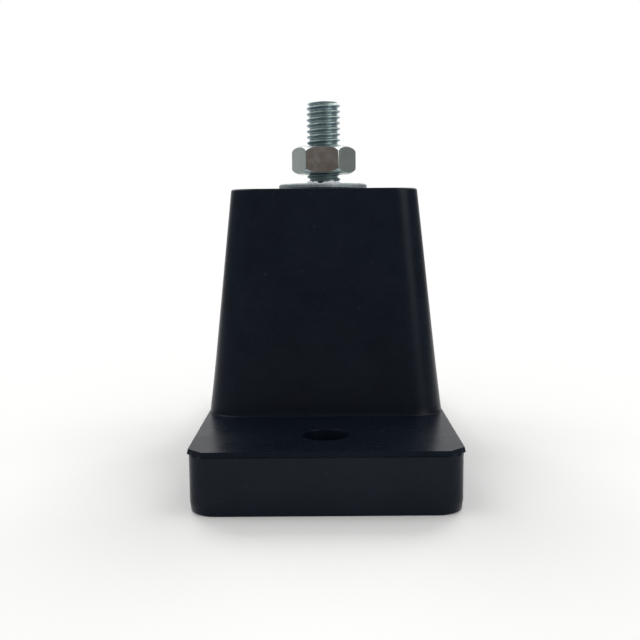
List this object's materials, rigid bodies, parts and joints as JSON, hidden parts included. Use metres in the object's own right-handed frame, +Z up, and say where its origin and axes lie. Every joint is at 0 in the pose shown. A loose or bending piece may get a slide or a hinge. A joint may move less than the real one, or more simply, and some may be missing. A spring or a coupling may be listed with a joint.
{
  "type": "rubber anti-vibration mount",
  "caption": "Black rubber anti-vibration mount: a leaning block on a flange with bolt holes, topped by a bonded steel plate, a threaded stud and a hexagon nut.",
  "frame": {"origin": "middle of the underside, where the flange stands on its support", "axes": "+Z up along the stud, +Y along the flange through both bolt holes, +X across the flange"},
  "size_m": [0.0394, 0.085, 0.0619],
  "materials": {
    "rubber": "satin",
    "zinc_plate": "satin",
    "zinc_thread": "satin",
    "weld_metal": "rough",
    "zinc_nut": "satin"
  },
  "bodies": {
    "rubber_base": {"rubber_body": "rubber"},
    "stud_assembly": {"top_plate": "zinc_plate", "stud": "zinc_thread", "weld_bead": "weld_metal"},
    "nut": {"hex_nut": "zinc_nut"}
  },
  "joints": [
    {"name": "mount_deflection", "type": "slide", "parent": "rubber_base", "child": "stud_assembly", "axis": [0, 0, -1], "range_m": [0, 0.005], "stiffness_N_per_m": 60000, "deforming": ["rubber_body"]},
    {"name": "nut_travel", "type": "slide", "parent": "stud_assembly", "child": "nut", "axis": [0, 0, 1], "range_m": [-0.00175, 0.0127]}
  ]
}
